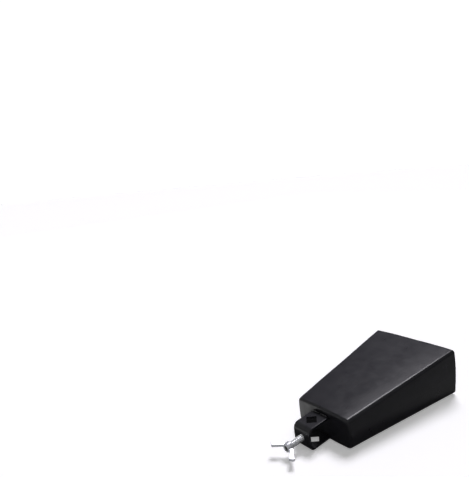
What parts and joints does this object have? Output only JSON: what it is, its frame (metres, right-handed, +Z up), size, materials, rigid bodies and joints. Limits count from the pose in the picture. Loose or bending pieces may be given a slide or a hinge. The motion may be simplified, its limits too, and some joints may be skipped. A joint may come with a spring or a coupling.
{
  "type": "cowbell",
  "caption": "Tapered sheet-steel cowbell with a closed crown and an open mouth. A welded U bracket with square rod holes and a wing screw clamps it to a rod.",
  "frame": {"origin": "centre of the bounding box at its base, with the bell lying on its lower broad face", "axes": "+Y from the closed crown to the open mouth, +Z up out of the upper broad face, +X across the broad faces"},
  "size_m": [0.127, 0.258, 0.0663],
  "materials": {
    "black_coat": "satin black powder coat",
    "zinc_stud": "bright zinc plate",
    "zinc_head": "zinc-plated casting"
  },
  "bodies": {
    "bell": {"upper_shell": "black_coat", "lower_shell": "black_coat", "seam_weld_right": "black_coat", "seam_weld_left": "black_coat", "seam_weld_crown": "black_coat", "bracket": "black_coat", "bracket_weld_upper_left": "black_coat", "bracket_weld_upper_right": "black_coat", "bracket_weld_lower_left": "black_coat", "bracket_weld_lower_right": "black_coat"},
    "stud": {"threaded_stud": "zinc_stud"},
    "wing": {"wing_head": "zinc_head"}
  },
  "joints": [
    {"name": "screw_travel", "type": "slide", "parent": "bell", "child": "stud", "axis": [0, 0.9975, 0.0706], "range_m": [-0.0042, 0.0176]},
    {"name": "wing_turn", "type": "hinge", "parent": "stud", "child": "wing", "pos_m": [-0.0024, -0.1132, 0.01368], "axis": [0, 0.9975, 0.0706], "range_deg": [-1044, 4464]}
  ],
  "couplings": [
    {"joint": "screw_travel", "follows": "wing_turn", "m_per_rad": 0.00022458}
  ]
}
